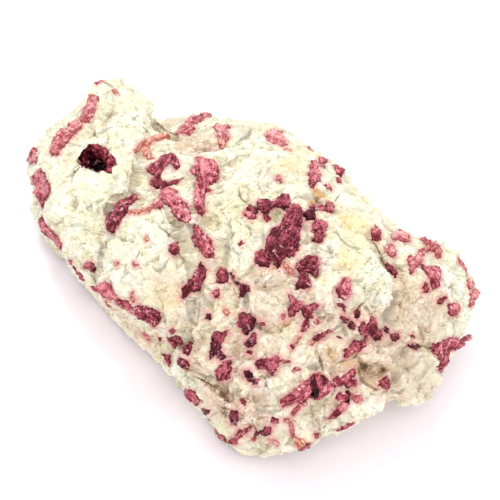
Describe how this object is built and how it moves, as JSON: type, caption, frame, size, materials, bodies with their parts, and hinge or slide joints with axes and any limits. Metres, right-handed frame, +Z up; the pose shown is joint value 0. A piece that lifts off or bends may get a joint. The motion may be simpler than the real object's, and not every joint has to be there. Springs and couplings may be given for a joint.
{
  "type": "tourmaline crystal specimen",
  "caption": "Hand-sized lump of pale feldspar and quartz matrix with stout pink and wine-red tourmaline crystals grown through its surface and a small crystal-lined vug.",
  "frame": {"origin": "centre of the overall bounds, on the plane of the flat underside", "axes": "+X along the long axis of the lump, away from its narrow head; +Z up from the flat underside; +Y across, towards the high back edge"},
  "size_m": [0.1434, 0.0868, 0.0408],
  "materials": {
    "matrix": "rough broken white to cream feldspar with grey quartz and ochre stains",
    "tourmaline_rose": "satin pale rose crystal, striated along its length",
    "tourmaline_magenta": "glassy pink to magenta crystal, striated along its length",
    "tourmaline_wine": "glassy dark wine-red crystal, striated along its length"
  },
  "bodies": {
    "root": {"matrix": "matrix", "ridge_upper_crystal": "tourmaline_rose", "ridge_lower_crystal": "tourmaline_magenta", "flank_pale_crystal": "tourmaline_rose", "flank_long_crystal": "tourmaline_magenta", "flank_low_crystal": "tourmaline_magenta", "back_blade_crystal": "tourmaline_rose", "saddle_arch_crystal": "tourmaline_rose", "back_pale_crystal": "tourmaline_rose", "rose_big_crystal": "tourmaline_rose", "groove_dark_crystal": "tourmaline_wine", "blade_centre_crystal": "tourmaline_magenta", "rim_knot_crystal": "tourmaline_wine", "slope_blade_crystal": "tourmaline_wine", "back_plate_crystal": "tourmaline_rose", "crest_blade_crystal": "tourmaline_magenta", "crest_stub_crystal": "tourmaline_magenta", "centre_cluster_crystal": "tourmaline_wine", "cluster_dark_crystal": "tourmaline_wine", "cluster_east_crystal": "tourmaline_wine", "dark_arch_crystal": "tourmaline_wine", "magenta_long_crystal": "tourmaline_magenta", "tongue_dark_crystal": "tourmaline_wine", "tongue_blade_crystal": "tourmaline_magenta", "lobe_cap_crystal": "tourmaline_rose", "lobe_knot_crystal": "tourmaline_magenta", "crack_dark_crystal": "tourmaline_wine", "lobe_long_crystal": "tourmaline_rose", "lobe_pair_crystal": "tourmaline_rose", "lobe_magenta_crystal": "tourmaline_magenta", "rim_east_crystal": "tourmaline_rose", "end_triangle_crystal": "tourmaline_magenta", "grain_bed_crystal": "tourmaline_wine", "wine_blade_crystal": "tourmaline_wine", "bow_crystal": "tourmaline_wine", "mid_dark_crystal": "tourmaline_wine", "leg_west_crystal": "tourmaline_wine", "leg_east_crystal": "tourmaline_wine", "low_blade_crystal": "tourmaline_magenta", "wall_pair_crystal": "tourmaline_wine", "wall_stub_crystal": "tourmaline_wine", "wall_upper_crystal": "tourmaline_magenta", "wall_long_crystal": "tourmaline_magenta", "wedge_blade_crystal": "tourmaline_magenta", "front_band_crystal": "tourmaline_magenta", "front_blade_crystal": "tourmaline_magenta", "front_edge_crystal": "tourmaline_rose", "head_back_crystal": "tourmaline_rose", "back_west_crystal": "tourmaline_magenta", "back_middle_crystal": "tourmaline_wine", "back_east_crystal": "tourmaline_rose", "back_lobe_crystal": "tourmaline_magenta", "west_low_crystal": "tourmaline_magenta", "vug_crust": "tourmaline_wine"}
  },
  "joints": []
}
